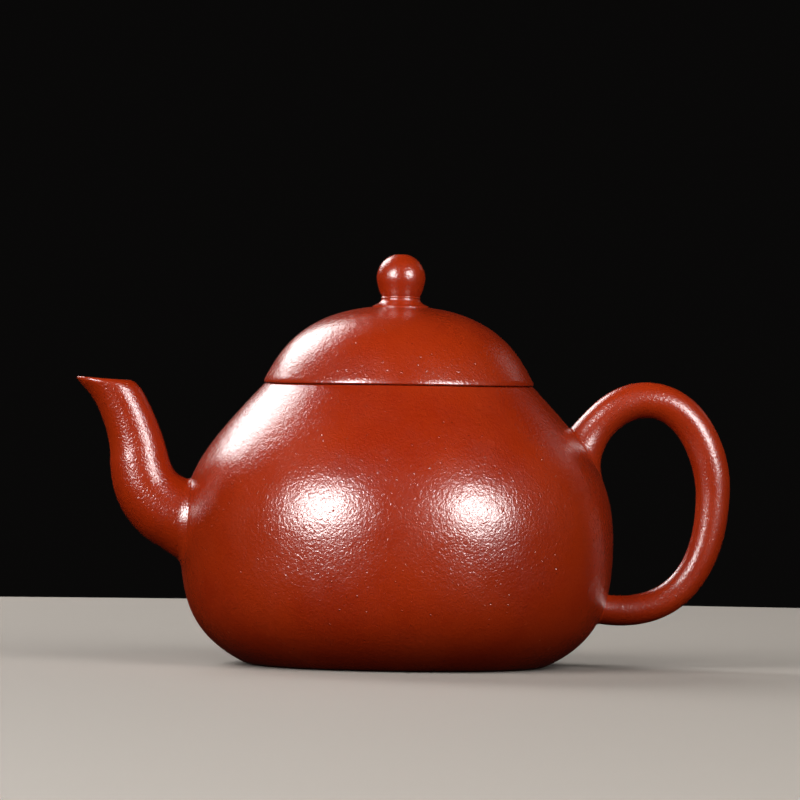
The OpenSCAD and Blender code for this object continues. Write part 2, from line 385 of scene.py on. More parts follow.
@dataclass
class Profile:
    """A turned surface's line in the half section, as close points that go up."""

    points: tuple[Vector, ...]
    heights: list[float] = field(init=False)

    def __post_init__(self) -> None:
        """Lists the heights, in which a place is looked up."""
        self.heights = [p.y for p in self.points]

    @classmethod
    def along(cls, curves: Sequence[Cubic], aside: float = 0.0, steps: int = 240) -> "Profile":
        """Follows curves end to end.

        Args:
            curves: the curves, from the lowest up.
            aside: how far the line lies to their left, which is towards the axis.
            steps: how many points each curve gives.

        Returns:
            The line.
        """
        rows = [[curve.at(i / steps) + aside * left_of(curve.speed(i / steps)) for i in range(steps + 1)]
                for curve in curves]
        return cls(tuple(p for row in rows for p in row))

    def radius_at(self, height: float) -> float:
        """Returns the line's radius at a height."""
        k = min(max(bisect_right(self.heights, height), 1), len(self.points) - 1)
        low, high = self.points[k - 1], self.points[k]
        share = (height - low.y) / max(high.y - low.y, TINY)
        return low.x + (high.x - low.x) * min(1.0, max(0.0, share))

    def outward_at(self, height: float) -> Vector:
        """Returns the unit direction out of the surface at a height."""
        reach = 0.2 * MM
        rise = Vector((self.radius_at(height + reach) - self.radius_at(height - reach), 2 * reach))
        return -left_of(rise)

    def part(self, low: float, high: float, guard_low: bool = True, guard_high: bool = True) -> list[Vector]:
        """Cuts out the line between two heights, in even steps.

        Args:
            low: the lower height.
            high: the upper height.
            guard_low: whether a second point follows the first closely, so that the shading there is true.
            guard_high: the same for the last point.

        Returns:
            The points from low to high.
        """
        inside = [p for p in self.points if low < p.y < high]
        line = [Vector((self.radius_at(low), low)), *inside, Vector((self.radius_at(high), high))]
        return even_steps(line, guard_low, guard_high)


def even_steps(line: Sequence[Vector], guard_low: bool = True, guard_high: bool = True) -> list[Vector]:
    """Spaces points evenly along a line.

    Args:
        line: close points on the line.
        guard_low: whether a second point follows the first closely.
        guard_high: the same for the last point.

    Returns:
        The evenly spaced points.
    """
    runs = [0.0]
    for a, b in zip(line, line[1:]):
        runs.append(runs[-1] + (b - a).length)
    count = max(2, round(runs[-1] / SECTION_STEP))
    wanted = [runs[-1] * i / count for i in range(count + 1)]
    if guard_low:
        wanted.insert(1, GUARD)
    if guard_high:
        wanted.insert(-1, runs[-1] - GUARD)
    found, k = [], 0
    for run in wanted:
        while k < len(line) - 2 and runs[k + 1] < run:
            k += 1
        share = (run - runs[k]) / max(runs[k + 1] - runs[k], TINY)
        found.append(line[k].lerp(line[k + 1], min(1.0, share)))
    return found


class Section:
    """The half section of a turned piece, drawn point by point."""

    def __init__(self) -> None:
        """Starts an empty section."""
        self.points: list[Vector] = []
        self.rounds: list[tuple[Vector, float]] = []

    def line(self, points: Sequence[Vector]) -> "Section":
        """Adds points as they are."""
        self.points.extend(points)
        return self

    def to(self, radius: float, height: float, rounding: float = 0.0) -> "Section":
        """Adds a corner.

        Args:
            radius: the corner's distance from the axis.
            height: the corner's height.
            rounding: how far from the corner its rounding starts.

        Returns:
            The section.
        """
        corner = Vector((radius, height))
        self.points.append(corner)
        if rounding:
            self.rounds.append((corner, rounding))
        return self

    def round_last(self, rounding: float) -> "Section":
        """Rounds the corner at the last point."""
        self.rounds.append((self.points[-1], rounding))
        return self

    def turned(self, closed: bool = True) -> bmesh.types.BMesh:
        """Turns the section about the axis.

        Args:
            closed: whether the last point is joined to the first. If not, both lie on the axis.

        Returns:
            The turned shape, closed and facing outwards.
        """
        bm = bmesh.new()
        verts = [bm.verts.new((p.x, 0.0, p.y)) for p in self.points]
        pairs = list(zip(verts, verts[1:])) + ([(verts[-1], verts[0])] if closed else [])
        for a, b in pairs:
            bm.edges.new((a, b))
        for corner, rounding in self.rounds:
            self.round_corner(bm, corner, rounding)
        bmesh.ops.spin(bm, geom=bm.verts[:] + bm.edges[:], cent=(0, 0, 0), axis=(0, 0, 1),
                       angle=math.tau, steps=TURN_STEPS, use_merge=True)
        bmesh.ops.remove_doubles(bm, verts=bm.verts, dist=MERGE)
        bmesh.ops.recalc_face_normals(bm, faces=bm.faces)
        return bm

    @staticmethod
    def round_corner(bm: bmesh.types.BMesh, corner: Vector, rounding: float) -> None:
        """Rounds one corner of the drawn line, with a guard point at each end of the rounding.

        Args:
            bm: the drawn line.
            corner: where the corner is.
            rounding: how far from the corner its rounding starts.
        """
        place = Vector((corner.x, 0.0, corner.y))
        vert = min(bm.verts, key=lambda v: (v.co - place).length)
        for edge in list(vert.link_edges):
            length = edge.calc_length()
            if length > rounding + 2 * GUARD:
                bmesh.utils.edge_split(edge, vert, (rounding + GUARD) / length)
        bmesh.ops.bevel(bm, geom=[vert], offset=rounding, offset_type="OFFSET", segments=ROUND_SEGMENTS,
                        profile=0.5, affect="VERTICES", material=-1, clamp_overlap=True)


# ---- rods, and the clay that joins them to the pot ----


@dataclass(frozen=True)
class Rod:
    """A round rod whose middle line lies in the plane of the spout and the handle."""

    curves: tuple[Cubic, ...]
    radius: Callable[[float], float]

    def middle(self, s: float) -> tuple[Vector, Vector]:
        """Finds a place on the middle line.

        Args:
            s: the share of the way; below 0 and above 1 the line runs straight on.

        Returns:
            The point, and the unit way the line runs there.
        """
        count = len(self.curves)
        inside = min(max(s, 0.0), 1.0)
        index = min(int(inside * count), count - 1)
        t = inside * count - index
        speed = self.curves[index].speed(t)
        return self.curves[index].at(t) + (s - inside) * count * speed, speed.normalized()

    def point(self, s: float, angle: float, extra: float = 0.0) -> Vector:
        """Finds a place on the skin.

        Args:
            s: the share of the way along the rod.
            angle: the angle round it; 0 is to the left of the way it runs.
            extra: how much thicker the rod is taken to be.

        Returns:
            The place.
        """
        middle, way = self.middle(s)
        reach = self.radius(min(max(s, 0.0), 1.0)) + extra
        at = middle + reach * math.cos(angle) * left_of(way)
        return Vector((at.x, reach * math.sin(angle), at.y))

    def along(self, s: float, angle: float) -> Vector:
        """Returns the unit direction of the skin towards larger s."""
        step = 0.002
        return (self.point(s + step, angle) - self.point(s - step, angle)).normalized()

    def where(self, above: Callable[[Vector], float], angle: float, low: float, high: float) -> float:
        """Finds where one line of the skin crosses a surface.

        Args:
            above: how far a place is past the surface; it is negative at low and positive at high.
            angle: which line of the skin.
            low: a share of the way before the crossing.
            high: a share of the way past it.

        Returns:
            The share of the way at the crossing.
        """
        for _ in range(HALVINGS):
            half = (low + high) / 2
            if above(self.point(half, angle)) < 0:
                low = half
            else:
                high = half
        return (low + high) / 2


Placing = Callable[[float], Vector]


@dataclass(frozen=True)
class Ring:
    """One ring of a drawn-out skin: where each of its points goes, by angle."""

    place: Placing
    inside: bool = False


def draw_out(sides: int, rings: Sequence[Ring]) -> bmesh.types.BMesh:
    """Draws a skin out of a circle, ring by ring; the last ring closes on the first.

    Args:
        sides: how many points a ring has.
        rings: the rings in order. A ring's inside says that the skin leading to it has the inner finish.

    Returns:
        The closed shape, facing outwards.
    """
    bm = bmesh.new()
    start = bmesh.ops.create_circle(bm, cap_ends=False, segments=sides, radius=1.0)["verts"]
    turn = {v: math.atan2(v.co.y, v.co.x) for v in start}
    edges = bm.edges[:]
    for v, angle in turn.items():
        v.co = rings[0].place(angle)
    for ring in [*rings[1:], rings[0]]:
        made = bmesh.ops.extrude_edge_only(bm, edges=edges)["geom"]
        verts, edges, faces = ([g for g in made if isinstance(g, kind)]
                               for kind in (bmesh.types.BMVert, bmesh.types.BMEdge, bmesh.types.BMFace))
        turn = {v: next(turn[e.other_vert(v)] for e in v.link_edges if e.other_vert(v) in turn)
                for v in verts}
        for v, angle in turn.items():
            v.co = ring.place(angle)
        for face in faces:
            face.material_index = int(ring.inside)
    bmesh.ops.remove_doubles(bm, verts=bm.verts, dist=MERGE)
    bmesh.ops.recalc_face_normals(bm, faces=bm.faces)
    return bm


@dataclass(frozen=True)
class RootClay:
    """Joining clay round a rod's root: a crisp crease on one side, a soft hollow on the other.

    The rod meets the wall between its shares root_s and far_s. The band starts on the rod, crease_rise out of
    the wall, and ends on the wall a flare away from the rod. At the crease it runs into the wall by tuck:
    along it, and inwards. The ease says how far the band keeps to the rod's way and to the wall's.
    """

    rod: Rod
    wall: Profile
    outwards: int
    root_s: float
    far_s: float
    soft_angle: float
    crease_rise: float
    crease_flare: float
    soft_flare: float
    softness: float
    tuck: tuple[float, float] = (0.55, 0.85)
    ease: float = 0.42
    sink: float = 0.5 * MM
    lap: float = 0.1 * MM
    steps: int = 14
    crowding: float = 1.15
    feet: dict[float, tuple[Vector, Vector]] = field(default_factory=dict)

    def above(self, place: Vector, height: float = 0.0) -> float:
        """Returns how far a place lies out of the pot's wall, less a height."""
        reach = math.hypot(place.x, place.y) - self.wall.radius_at(place.z)
        return reach * self.wall.outward_at(place.z).x - height

    def border(self) -> float:
        """Returns the share of the rod's way where the joining clay starts."""
        crisp = self.soft_angle + math.pi
        return self.rod.where(lambda p: self.above(p, self.crease_rise), crisp, self.root_s, self.far_s)

    def soft_share(self, angle: float) -> float:
        """Returns how soft the joint is at an angle: 0 at the crease and 1 in the hollow."""
        return ((1 + math.cos(angle - self.soft_angle)) / 2) ** self.softness

    def foot(self, angle: float) -> tuple[Vector, Vector]:
        """Returns where the joining clay ends on the wall, and how it runs in there; each is found once."""
        if angle not in self.feet:
            self.feet[angle] = self.find_foot(angle)
        return self.feet[angle]

    def find_foot(self, angle: float) -> tuple[Vector, Vector]:
        """Finds where the joining clay ends on the wall.

        Args:
            angle: the angle round the rod.

        Returns:
            The place, and the direction in which the clay runs into the wall there.
        """
        s = self.rod.where(self.above, angle, self.root_s, self.far_s)
        met = self.rod.point(s, angle)
        out = self.out_of_wall(met)
        middle, _ = self.rod.middle(s)
        away = met - Vector((middle.x, 0.0, middle.y))
        away = (away - away.dot(out) * out).normalized()
        soft = self.soft_share(angle)
        flare = self.crease_flare + (self.soft_flare - self.crease_flare) * soft
        run = Vector((flare * away.x, self.crease_flare * away.y, flare * away.z))
        foot = self.onto_wall(met + run)
        out = self.out_of_wall(foot)
        away = (away - away.dot(out) * out).normalized()
        crisp = self.tuck[0] * away - self.tuck[1] * out
        return foot, (soft * away + (1 - soft) * crisp).normalized()

    def out_of_wall(self, place: Vector) -> Vector:
        """Returns the unit direction out of the pot's wall at a place."""
        flat = self.wall.outward_at(place.z)
        around = Vector((place.x, place.y, 0.0)).normalized()
        return (flat.x * around + Vector((0.0, 0.0, flat.y))).normalized()

    def onto_wall(self, place: Vector) -> Vector:
        """Returns the place moved straight onto the pot's wall."""
        for _ in range(3):
            place = place - self.above(place) * self.out_of_wall(place)
        return place

    def ring(self, t: float, s_border: float) -> Placing:
        """Returns the ring a share t of the way from the rod down to the wall."""
        def place(angle: float) -> Vector:
            start = self.rod.point(s_border, angle)
            inwards = -self.outwards * self.rod.along(s_border, angle)
            foot, into = self.foot(angle)
            pull = self.ease * (foot - start).length
            a, b = start + pull * inwards, foot - pull * into
            u = 1 - t
            return u ** 3 * start + 3 * u * u * t * a + 3 * u * t * t * b + t ** 3 * foot
        return place

    def sunk(self, inner: bool) -> Placing:
        """Returns the ring below the wall's skin: under the foot, or at the rod."""
        def place(angle: float) -> Vector:
            if inner:
                s = self.rod.where(lambda p: self.above(p, -self.sink), angle, self.root_s, self.far_s)
                return self.rod.point(s, angle, -self.lap)
            foot, _ = self.foot(angle)
            return foot - self.sink * self.out_of_wall(foot)
        return place

    def build(self, sides: int) -> bmesh.types.BMesh:
        """Makes the band of clay.

        Args:
            sides: how many points it has round the rod.

        Returns:
            The closed band.
        """
        s_border = self.border()
        shares = [0.0, 0.01, *[(i / self.steps) ** self.crowding for i in range(1, self.steps + 1)]]
        rings = [Ring(self.ring(t, s_border)) for t in shares]
        rings += [Ring(self.sunk(False)), Ring(self.sunk(True))]
        return draw_out(sides, rings)


# ---- from a shape to a finished piece ----


@dataclass(frozen=True)
class HandWork:
    """The unevenness that hands leave: nothing on the table, about a tenth of a millimetre higher up."""

    level_height: float = 3 * MM
    broad_span: float = 26 * MM
    broad_reach: float = 0.16 * MM
    close_span: float = 9 * MM
    close_reach: float = 0.03 * MM
    close_shift: Vector = Vector((7.0, 3.0, 5.0))

    def at(self, place: Vector) -> Vector:
        """Returns how far a place is moved."""
        lift = min(1.0, max(0.0, place.z / self.level_height))
        broad = noise.noise_vector(place / self.broad_span) * self.broad_reach
        close = noise.noise_vector(place / self.close_span + self.close_shift) * self.close_reach
        return (broad + close) * lift


class Maker:
    """Turns shapes into finished pieces that ride on the frame's bodies."""

    def __init__(self) -> None:
        """Makes one material for each finish."""
        self.hand = HandWork()
        self.materials = {clay: finish.build(clay.value[0]) for clay, finish in FINISHES.items()}

    def finish(self, bm: bmesh.types.BMesh, node: str, body: Body, clay: Clay) -> None:
        """Makes a shape the piece that stands for one CAD node.

        Args:
            bm: the shape; it is used up.
            node: the CAD node.
            body: the body it rides on.
            clay: the finish of its outside; faces marked as inside are bare inner clay.
        """
        for v in bm.verts:
            v.co += self.hand.at(v.co)
        for face in bm.faces:
            face.smooth = True
        for edge in bm.edges:
            if len(edge.link_faces) == 2 and edge.calc_face_angle() > SHARP_ANGLE:
                edge.smooth = False
        mesh = bpy.data.meshes.new(f"{node}_skin")
        bm.to_mesh(mesh)
        bm.free()
        piece = bpy.data.objects.new(f"{node}_skin", mesh)
        bpy.context.scene.collection.objects.link(piece)
        mesh.materials.append(self.materials[clay])
        mesh.materials.append(self.materials[Clay.INNER])
        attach(piece, body.value)
        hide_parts(node)
        log.info("%s: %d faces on %s", piece.name, len(mesh.polygons), body.value)

    @staticmethod
    def cut(bm: bmesh.types.BMesh, tool: bmesh.types.BMesh) -> bmesh.types.BMesh:
        """Cuts one closed shape out of another; both are used up.

        Args:
            bm: what is cut.
            tool: what it is cut with.

        Returns:
            The shape that is left.
        """
        objects = []
        for name, shape in (("cut_from", bm), ("cut_with", tool)):
            mesh = bpy.data.meshes.new(name)
            shape.to_mesh(mesh)
            shape.free()
            objects.append(bpy.data.objects.new(name, mesh))
            bpy.context.scene.collection.objects.link(objects[-1])
        target, cutter = objects
        modifier = target.modifiers.new("cut", "BOOLEAN")
        modifier.operation = "DIFFERENCE"
        modifier.solver = "EXACT"
        modifier.object = cutter
        left = bmesh.new()
        left.from_object(target, bpy.context.evaluated_depsgraph_get())
        for thing in objects:
            bpy.data.objects.remove(thing)
        return left


def radii(node: str, low: float = -1.0, high: float = 1.0) -> list[float]:
    """Returns the distances from the axis of a CAD node's vertices between two heights."""
    return [math.hypot(v.co.x, v.co.y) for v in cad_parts[node].data.vertices if low <= v.co.z <= high]


def height_of_widest(node: str) -> float:
    """Returns the height at which a CAD node is widest."""
    return max(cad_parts[node].data.vertices, key=lambda v: math.hypot(v.co.x, v.co.y)).co.z


# ---- the pot ----


@dataclass
class Pot:
    """The pot itself: its base, beaten wall, closing disc and mouth."""

    body_r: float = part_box("body_wall")[1].x
    belly_z: float = height_of_widest("body_wall")
    base_top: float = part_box("base_disc")[1].z
    shoulder_z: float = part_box("body_wall")[1].z
    ring_z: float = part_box("mouth_ring")[0].z
    rim_z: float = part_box("mouth_ring")[1].z
    mouth_r: float = min(radii("mouth_ring"))
    edge: float = 0.25 * MM
    wall: float = 2.6 * MM
    cove: float = 3.5 * MM
    dish: float = 0.5 * MM
    foot_ring: float = 4 * MM
    foot_round: float = 1.1 * MM
    slope: float = 0.35 * MM
    slope_round: float = 0.3 * MM
    mark_side: float = 12 * MM
    mark_round: float = 1.2 * MM
    mark_taper: float = 0.94
    mark_depth: float = 0.4 * MM
    seat_round: float = 0.55 * MM
    coil_round: float = 0.8 * MM
    foot_r: float = field(init=False)
    rim_r: float = field(init=False)
    outer: Profile = field(init=False)
    inner: Profile = field(init=False)

    def __post_init__(self) -> None:
        """Draws the pot's outline and the line of its inside."""
        self.foot_r = max(radii("base_disc", -SKIN, SKIN)) + self.edge
        self.rim_r = max(radii("mouth_ring", self.rim_z - SKIN, self.rim_z + SKIN)) + self.edge
        spread, draw_in = self.body_r - self.foot_r, self.body_r - self.rim_r
        rise = self.rim_z - self.belly_z
        belly = Vector((self.body_r, self.belly_z))
        lower = Cubic(Vector((self.foot_r, 0.0)), Vector((self.foot_r + 0.82 * spread, 0.2 * self.belly_z)),
                      Vector((self.body_r, 0.5 * self.belly_z)), belly)
        upper = Cubic(belly, Vector((self.body_r, self.belly_z + 0.46 * rise)),
                      Vector((self.rim_r + 0.57 * draw_in, self.rim_z - 0.34 * rise)),
                      Vector((self.rim_r, self.rim_z)))
        self.outer = Profile.along((lower, upper))
        self.inner = Profile.along((lower, upper), self.wall)

    def line_inside(self, bm: bmesh.types.BMesh) -> None:
        """Gives the inner finish to the faces that look towards the axis."""
        for face in bm.faces:
            middle = face.calc_center_median()
            reach = math.hypot(middle.x, middle.y)
            if reach < self.outer.radius_at(middle.z) - 0.6 * self.wall:
                face.material_index = 1

    def body_wall(self, hole: bmesh.types.BMesh) -> bmesh.types.BMesh:
        """Returns the beaten wall, with a cove where it meets the base and the hole to the spout."""
        foot = Vector((self.inner.radius_at(self.base_top + self.cove), self.base_top + self.cove))
        corner = Vector((self.inner.radius_at(self.base_top), self.base_top))
        cove = Cubic(foot, foot.lerp(corner, 0.6), corner - Vector((0.4 * self.cove, 0.0)),
                     corner - Vector((self.cove, 0.0)))
        section = Section()
        section.line(self.outer.part(self.base_top, self.shoulder_z))
        section.line(self.inner.part(self.base_top + self.cove, self.shoulder_z)[::-1])
        section.line([cove.at(i / 8) for i in range(1, 9)])
        bm = Maker.cut(section.turned(), hole)
        self.line_inside(bm)
        return bm

    def base_disc(self) -> bmesh.types.BMesh:
        """Returns the base plate: a foot ring, a pressed-in middle and a blank square impression."""
        ring_r = self.foot_r - self.foot_ring
        section = Section().to(0.0, self.dish)
        section.line([Vector((ring_r * i / 24, self.dish)) for i in range(1, 24)])
        section.to(ring_r - self.slope, self.dish, self.slope_round)
        section.to(ring_r + self.slope, 0.0, self.slope_round)
        section.to(self.foot_r - 0.1 * MM, 0.0, self.foot_round)
        section.line(self.outer.part(0.7 * MM, self.base_top, guard_low=False))
        section.line([Vector((self.outer.radius_at(self.base_top) * i / 20, self.base_top))
                      for i in range(19, -1, -1)])
        bm = Maker.cut(section.turned(closed=False), self.stamp())
        for face in bm.faces:
            if face.calc_center_median().z > self.base_top - SKIN:
                face.material_index = 1
        return bm

    def stamp(self) -> bmesh.types.BMesh:
        """Returns the square block that is pressed into the base, with round corners and a narrower top."""
        bm = bmesh.new()
        size = (self.mark_side, self.mark_side, 2 * (self.dish + self.mark_depth), 1.0)
        bmesh.ops.create_cube(bm, size=1.0, matrix=Matrix.Diagonal(size))
        uprights = [e for e in bm.edges if abs(e.verts[0].co.z - e.verts[1].co.z) > self.dish]
        bmesh.ops.bevel(bm, geom=uprights, offset=self.mark_round, offset_type="OFFSET", segments=6,
                        profile=0.5, affect="EDGES", material=-1)
        upper = [v for v in bm.verts if v.co.z > 0]
        bmesh.ops.scale(bm, vec=(self.mark_taper, self.mark_taper, 1.0), verts=upper)
        return bm

    def shoulder_disc(self) -> bmesh.types.BMesh:
        """Returns the disc that closed the top of the wall, with the mouth cut out of it."""
        section = Section()
        section.line(self.outer.part(self.shoulder_z, self.ring_z))
        section.line(self.inner.part(self.shoulder_z, self.ring_z)[::-1])
        bm = section.turned()
        self.line_inside(bm)
        return bm

    def mouth_ring(self) -> bmesh.types.BMesh:
        """Returns the coil of clay that makes the mouth and the lid's seat."""
        section = Section()
        section.line(self.outer.part(self.ring_z, self.rim_z, guard_high=False))
        section.round_last(1.2 * self.edge)
        section.to(self.mouth_r, self.rim_z, self.seat_round).to(self.mouth_r, self.ring_z, self.coil_round)
        bm = section.turned()
        for face in bm.faces:
            middle = face.calc_center_median()
            if math.hypot(middle.x, middle.y) < self.mouth_r + 0.3 * MM or face.normal.z < -0.9:
                face.material_index = 1
        return bm

    def build(self, maker: Maker, hole: bmesh.types.BMesh) -> None:
        """Makes the pot's four turned pieces.

        Args:
            maker: what finishes them.
            hole: the shape of the hole from the pot into the spout.
        """
        maker.finish(self.base_disc(), "base_disc", Body.POT, Clay.BEATEN)
        maker.finish(self.body_wall(hole), "body_wall", Body.POT, Clay.BEATEN)
        maker.finish(self.shoulder_disc(), "shoulder_disc", Body.POT, Clay.BEATEN)
        maker.finish(self.mouth_ring(), "mouth_ring", Body.POT, Clay.BEATEN)


# ---- the spout ----


def mouth_middle() -> float:
    """Returns the X of the middle of the spout's mouth in the frame."""
    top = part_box("spout")[1].z
    level = [v.co.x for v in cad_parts["spout"].data.vertices if v.co.z > top - SKIN]
    return (min(level) + max(level)) / 2


@dataclass
class Spout:
    """The spout with its level mouth, its joining clay and the strainer behind it.

    The bends place its middle line's ends and pulls, as shares of its run and its lift.
    """

    pot: Pot
    top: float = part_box("spout")[1].z
    mouth_x: float = mouth_middle()
    root_h: float = 24 * MM
    root_sink: float = 2.5 * MM
    root_r: float = 7 * MM
    mouth_r: float = 3.9 * MM
    root_wall: float = 2.2 * MM
    lip: float = 1.1 * MM
    swell: float = 1.5
    side_dip: float = 0.15 * MM
    back_dip: float = 0.25 * MM
    lip_round: float = 0.85 * MM
    back_round: float = 2.3 * MM
    front_reach: float = 1.2
    back_reach: float = 0.8
    bends: tuple[tuple[float, float], ...] = ((0, 0), (0.42, 0.12), (0.56, 0.21), (0.615, 0.455),
                                              (0.64, 0.585), (0.77, 0.84), (1, 1))
    sides: int = 96
    rings: int = 64
    lip_rings: int = 10
    outside: Rod = field(init=False)
    inside: Rod = field(init=False)
    joint: RootClay = field(init=False)
    ends: dict[tuple[int, float, float], float] = field(default_factory=dict)

    def __post_init__(self) -> None:
        """Draws the spout's middle line, its two skins and its joint."""
        root = Vector((-(self.pot.body_r - self.root_sink), self.root_h))
        run, lift = self.mouth_x - root.x, self.top - root.y
        p = [root + Vector((x * run, z * lift)) for x, z in self.bends]
        curves = (Cubic(*p[:4]), Cubic(*p[3:]))
        self.outside = Rod(curves, lambda s: self.thickness(s, self.root_r, self.mouth_r))
        self.inside = Rod(curves, lambda s: self.thickness(s, self.root_r - self.root_wall,
                                                           self.mouth_r - self.lip))
        self.joint = RootClay(self.outside, self.pot.outer, outwards=1, root_s=-0.05, far_s=0.55,
                              soft_angle=0.0, crease_rise=0.8 * MM, crease_flare=0.45 * MM,
                              soft_flare=1.6 * MM, softness=3.0)

    def thickness(self, s: float, root_r: float, mouth_r: float) -> float:
        """Returns the radius a share s of the way from the root to the mouth."""
        return mouth_r + (root_r - mouth_r) * (1 - s) ** self.swell

    def level(self, angle: float) -> float:
        """Returns the height of the lip at an angle: the sides and the back dip a little."""
        back = (1 - math.cos(angle)) / 2
        return self.top - self.side_dip * math.sin(angle) ** 2 - self.back_dip * back

    def drop(self, angle: float) -> float:
        """Returns how far below the lip its outer rounding starts: more at the back."""
        back = ((1 - math.cos(angle)) / 2) ** 2
        return self.lip_round + (self.back_round - self.lip_round) * back

    def end_of(self, rod: Rod, angle: float, drop: float) -> float:
        """Returns where a line of a skin reaches the start of the lip's rounding; each is found once."""
        key = (id(rod), angle, drop)
        if key not in self.ends:
            self.ends[key] = rod.where(lambda p: p.z - (self.level(angle) - drop), angle, 0.6, 1.4)
        return self.ends[key]

    def skin(self, rod: Rod, share: float, start: float, drop: Callable[[float], float]) -> Placing:
        """Returns the ring a share of the way from a start up to the lip."""
        def place(angle: float) -> Vector:
            end = self.end_of(rod, angle, drop(angle))
            return rod.point(start + (end - start) * share, angle)
        return place

    def lip_ring(self, t: float) -> Placing:
        """Returns the ring a share t of the way over the lip, from the outside to the inside."""
        def place(angle: float) -> Vector:
            corners = []
            back = (1 - math.cos(angle)) / 2
            reach = self.front_reach + (self.back_reach - self.front_reach) * back
            for rod, drop, pull in ((self.outside, self.drop(angle), reach),
                                    (self.inside, self.lip_round, self.front_reach)):
                s = self.end_of(rod, angle, drop)
                at, way = rod.point(s, angle), rod.along(s, angle)
                corners += [at, at + way * (pull * drop / max(way.z, 0.5))]
            a, b, d, c = corners
            u = 1 - t
            return u ** 3 * a + 3 * u * u * t * b + 3 * u * t * t * c + t ** 3 * d
        return place

    def sunk(self, rod: Rod) -> Placing:
        """Returns the ring where a skin ends in the pot's wall."""
        def place(angle: float) -> Vector:
            return rod.point(rod.where(lambda p: self.joint.above(p, -ROOT_DEPTH), angle, -0.15, 0.6), angle)
        return place

    def tube(self) -> bmesh.types.BMesh:
        """Returns the spout: outer skin, lip and bore."""
        start = self.joint.border()
        shares = [i / self.rings for i in range(self.rings + 1)]
        rings = [Ring(self.sunk(self.outside))]
        rings += [Ring(self.skin(self.outside, share, start, self.drop)) for share in shares]
        rings += [Ring(self.lip_ring(i / self.lip_rings)) for i in range(1, self.lip_rings)]
        rings += [Ring(self.skin(self.inside, share, start, lambda _: self.lip_round), share < 0.9)
                  for share in shares[::-2]]
        rings += [Ring(self.sunk(self.inside), True)]
        return draw_out(self.sides, rings)

    def hole(self) -> bmesh.types.BMesh:
        """Returns the shape that cuts the hole from the pot into the spout."""
        middle, way = self.outside.middle(0.0)
        bm = bmesh.new()
        turn = Vector((way.x, 0.0, way.y)).to_track_quat("Z", "Y").to_matrix().to_4x4()
        matrix = Matrix.Translation((middle.x, 0.0, middle.y)) @ turn
        bore_r = self.root_r - self.root_wall
        bmesh.ops.create_cone(bm, cap_ends=True, segments=64, radius1=bore_r, radius2=bore_r,
                              depth=4 * self.pot.wall, matrix=matrix)
        return bm

    def build(self, maker: Maker) -> None:
        """Makes the spout and its joint, and dresses the strainer."""
        maker.finish(self.tube(), "spout", Body.POT, Clay.DRAWN)
        maker.finish(self.joint.build(self.sides), "spout_luting", Body.POT, Clay.JOINT)
        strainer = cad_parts["strainer_dome"].data
        strainer.materials.clear()
        strainer.materials.append(maker.materials[Clay.INNER])


# ---- the handle ----


